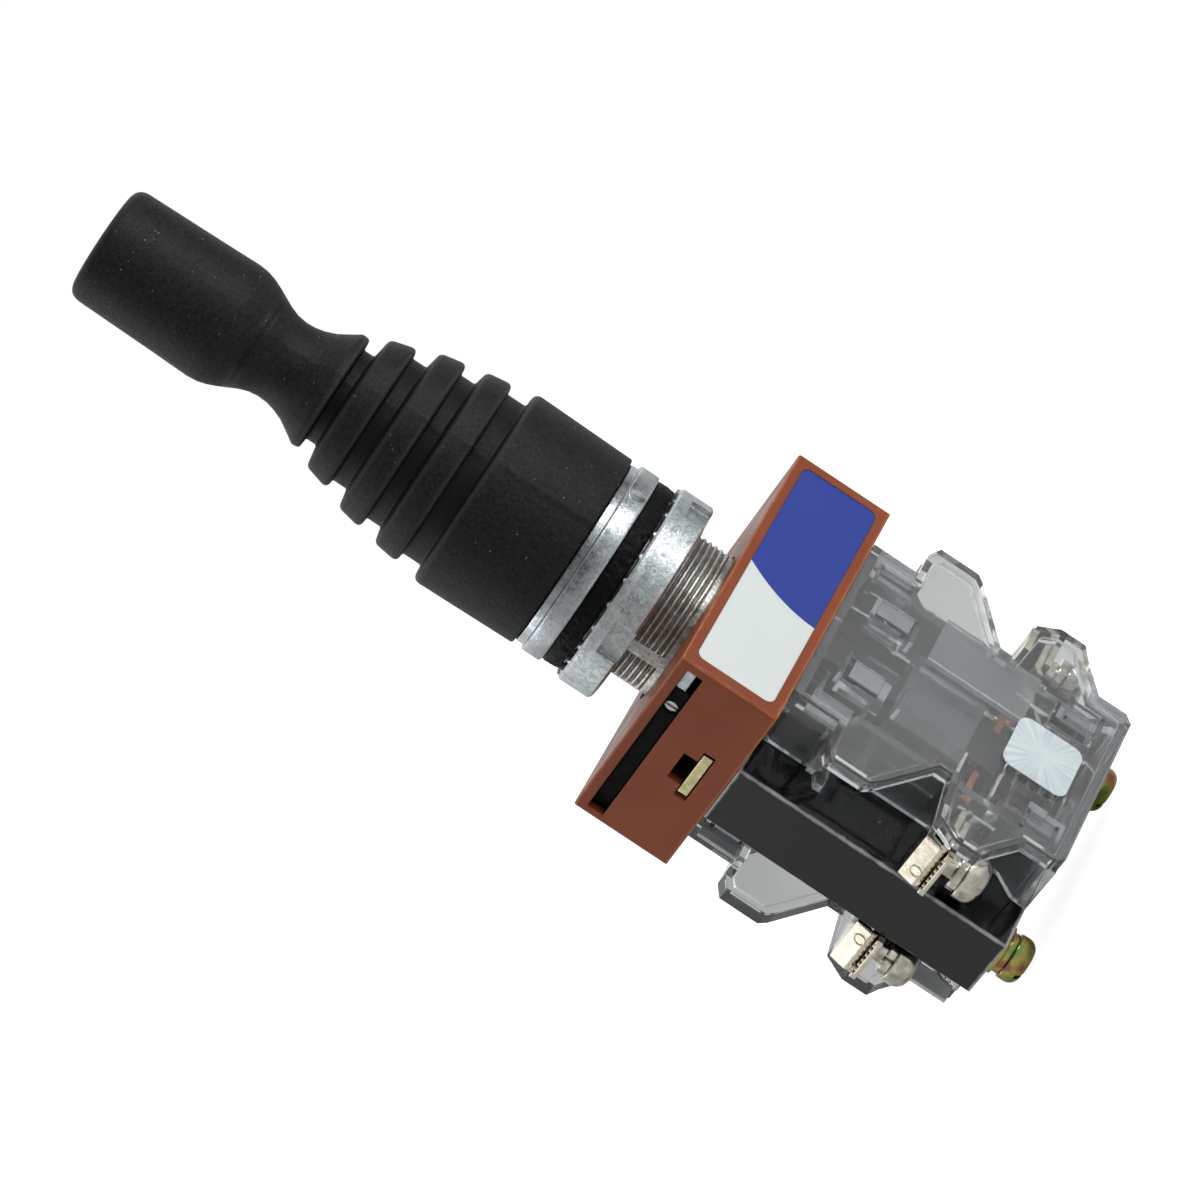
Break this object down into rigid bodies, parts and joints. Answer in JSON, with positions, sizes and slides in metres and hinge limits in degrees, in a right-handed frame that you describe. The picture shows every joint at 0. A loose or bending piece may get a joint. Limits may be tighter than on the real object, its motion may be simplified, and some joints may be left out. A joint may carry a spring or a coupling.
{
  "type": "industrial joystick",
  "caption": "Panel joystick with a rubber boot and grip on a threaded metal neck, a brown latched base and clear contact blocks with screw terminals.",
  "frame": {"origin": "on the control's axis, in the gasket face that seats on the front of the panel", "axes": "+Z along the control, out of the panel towards the grip; +X along the wide side of the base, away from the latch tab; -Y towards the label"},
  "size_m": [0.0468, 0.0322, 0.1496],
  "materials": {
    "zinc_cast": "mottled die-cast zinc, satin",
    "rubber_black": "matt with a fine grain",
    "steel_bright": "bright turned steel",
    "plastic_black_matt": "matt",
    "plastic_brown": "satin terracotta brown",
    "label_film": "plain satin film, grey-white and blue",
    "steel_passivated": "yellow passivated",
    "plastic_black_gloss": "glossy",
    "polycarbonate_clear": "clear, faintly grey",
    "plastic_grey": "satin dark grey",
    "copper": "bright copper",
    "nickel": "nickel plated",
    "foil_seal": "silver-blue foil"
  },
  "bodies": {
    "housing": {"head_body": "zinc_cast", "panel_gasket": "rubber_black", "locknut": "zinc_cast", "boot_collar": "rubber_black", "boot_bellows": "rubber_black", "pivot_pin": "steel_bright", "base_housing": "plastic_brown", "base_label": "label_film", "latch_spring": "steel_bright", "clamp_bar": "zinc_cast", "clamp_insert": "plastic_black_matt", "clamp_screw": "steel_bright", "contact_carrier": "plastic_black_gloss", "carrier_screws": "steel_passivated", "carrier_washers": "steel_passivated", "carrier_spring_washers": "steel_passivated", "seal_sticker": "foil_seal", "front_cover": "polycarbonate_clear", "front_contact_housing": "polycarbonate_clear", "front_return_spring": "steel_bright", "front_strip_right": "nickel", "front_strip_left": "nickel", "front_saddles": "nickel", "front_lock_washers": "nickel", "front_terminal_screws": "nickel", "back_cover": "polycarbonate_clear", "back_contact_housing": "polycarbonate_clear", "back_return_spring": "steel_bright", "back_strip_right": "nickel", "back_strip_left": "nickel", "back_saddles": "nickel", "back_lock_washers": "nickel", "back_terminal_screws": "nickel"},
    "lever": {"grip": "rubber_black", "lever_rod": "steel_bright", "rocker": "plastic_black_matt"},
    "front_plunger_set": {"front_pushrod": "plastic_black_matt", "front_plunger": "plastic_grey", "front_bridge": "copper", "front_contact_spring": "steel_bright"},
    "back_plunger_set": {"back_pushrod": "plastic_black_matt", "back_plunger": "plastic_grey", "back_bridge": "copper", "back_contact_spring": "steel_bright"},
    "latch": {"latch_plate": "steel_passivated"}
  },
  "joints": [
    {"name": "lever_tilt", "type": "hinge", "parent": "housing", "child": "lever", "pos_m": [0, 0, 0.011], "axis": [1, 0, 0], "range_deg": [-20, 20], "stiffness_Nm_per_rad": 0.5, "deforming": ["boot_bellows"]},
    {"name": "front_press", "type": "slide", "parent": "housing", "child": "front_plunger_set", "axis": [0, 0, -1], "range_m": [-0.0021, 0.0021], "deforming": ["front_return_spring"]},
    {"name": "back_press", "type": "slide", "parent": "housing", "child": "back_plunger_set", "axis": [0, 0, -1], "range_m": [-0.0021, 0.0021], "deforming": ["back_return_spring"]},
    {"name": "latch_push", "type": "slide", "parent": "housing", "child": "latch", "axis": [1, 0, 0], "range_m": [0, 0.0015], "stiffness_N_per_m": 300, "deforming": ["latch_spring"]}
  ],
  "couplings": [
    {"joint": "front_press", "follows": "lever_tilt", "m_per_rad": 0.006},
    {"joint": "back_press", "follows": "lever_tilt", "m_per_rad": -0.006}
  ]
}
